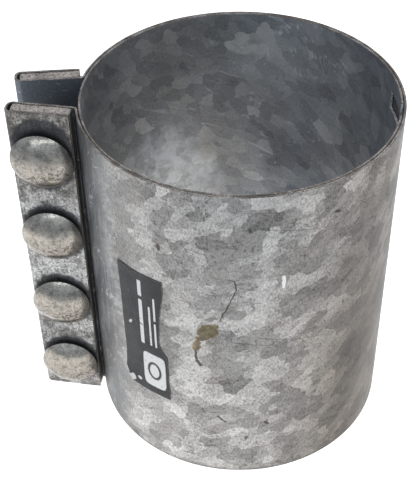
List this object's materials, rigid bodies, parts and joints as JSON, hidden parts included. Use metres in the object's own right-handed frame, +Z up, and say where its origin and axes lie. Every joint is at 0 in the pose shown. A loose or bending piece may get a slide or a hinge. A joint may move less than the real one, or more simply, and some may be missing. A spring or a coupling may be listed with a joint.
{
  "type": "pipe repair clamp",
  "caption": "Galvanised split-band clamp that bolts round a pipe or pipe joint, with hemmed bolt lugs and an inner liner ring.",
  "frame": {"origin": "centre of the bounding box's base; the barrel's axis is vertical at x = 0.0141 m", "axes": "+Z up the barrel, lugs towards -X, bolt heads on the -Y side and nuts on the +Y side"},
  "size_m": [0.1662, 0.138, 0.1651],
  "materials": {
    "band_zinc": "galvanised, dull spangle",
    "liner_zinc": "galvanised, dark spangle",
    "bar_zinc": "sheared ends, gritty",
    "bolt_zinc": "hot-dip galvanised, pitted",
    "washer_zinc": "galvanised",
    "nut_zinc": "hot-dip galvanised",
    "label_film": "scuffed vinyl"
  },
  "bodies": {
    "nut_side": {"band_nut_half": "band_zinc", "nut_bar": "bar_zinc", "liner_ring": "liner_zinc"},
    "bolt_side": {"band_bolt_half": "band_zinc", "bolt_bar": "bar_zinc", "label": "label_film", "bolt_1": "bolt_zinc", "bolt_2": "bolt_zinc", "bolt_3": "bolt_zinc", "bolt_4": "bolt_zinc"},
    "washers_1": {"flat_washer_1": "washer_zinc", "spring_washer_1": "washer_zinc"},
    "nut_1": {"hex_nut_1": "nut_zinc"},
    "washers_2": {"flat_washer_2": "washer_zinc", "spring_washer_2": "washer_zinc"},
    "nut_2": {"hex_nut_2": "nut_zinc"},
    "washers_3": {"flat_washer_3": "washer_zinc", "spring_washer_3": "washer_zinc"},
    "nut_3": {"hex_nut_3": "nut_zinc"},
    "washers_4": {"flat_washer_4": "washer_zinc", "spring_washer_4": "washer_zinc"},
    "nut_4": {"hex_nut_4": "nut_zinc"}
  },
  "joints": [
    {"name": "band_open", "type": "hinge", "parent": "nut_side", "child": "bolt_side", "pos_m": [0.0826, 0, 0.08255], "axis": [0, 0, 1], "range_deg": [0, 3.35]},
    {"name": "washers_1_travel", "type": "slide", "parent": "bolt_side", "child": "washers_1", "axis": [0.0785, 0.9969, 0], "range_m": [0, 0.00987]},
    {"name": "nut_1_turn", "type": "hinge", "parent": "washers_1", "child": "nut_1", "pos_m": [-0.06897, -0.01278, 0.1419], "axis": [0.0785, 0.9969, 0], "range_deg": [0, 1800]},
    {"name": "washers_2_travel", "type": "slide", "parent": "bolt_side", "child": "washers_2", "axis": [0.0785, 0.9969, 0], "range_m": [0, 0.00987]},
    {"name": "nut_2_turn", "type": "hinge", "parent": "washers_2", "child": "nut_2", "pos_m": [-0.06897, -0.01278, 0.1006], "axis": [0.0785, 0.9969, 0], "range_deg": [0, 1805]},
    {"name": "washers_3_travel", "type": "slide", "parent": "bolt_side", "child": "washers_3", "axis": [0.0785, 0.9969, 0], "range_m": [0, 0.00987]},
    {"name": "nut_3_turn", "type": "hinge", "parent": "washers_3", "child": "nut_3", "pos_m": [-0.06897, -0.01278, 0.0593], "axis": [0.0785, 0.9969, 0], "range_deg": [0, 1805]},
    {"name": "washers_4_travel", "type": "slide", "parent": "bolt_side", "child": "washers_4", "axis": [0.0785, 0.9969, 0], "range_m": [0, 0.00987]},
    {"name": "nut_4_turn", "type": "hinge", "parent": "washers_4", "child": "nut_4", "pos_m": [-0.06897, -0.01278, 0.018], "axis": [0.0785, 0.9969, 0], "range_deg": [0, 1805]}
  ],
  "couplings": [
    {"joint": "washers_1_travel", "follows": "nut_1_turn", "m_per_rad": 0.00031096},
    {"joint": "nut_2_turn", "follows": "nut_1_turn", "ratio": 1},
    {"joint": "washers_2_travel", "follows": "nut_1_turn", "m_per_rad": 0.00031096},
    {"joint": "nut_3_turn", "follows": "nut_1_turn", "ratio": 1},
    {"joint": "washers_3_travel", "follows": "nut_1_turn", "m_per_rad": 0.00031096},
    {"joint": "nut_4_turn", "follows": "nut_1_turn", "ratio": 1},
    {"joint": "washers_4_travel", "follows": "nut_1_turn", "m_per_rad": 0.00031096},
    {"joint": "band_open", "follows": "nut_1_turn", "ratio": 0.0018333}
  ]
}
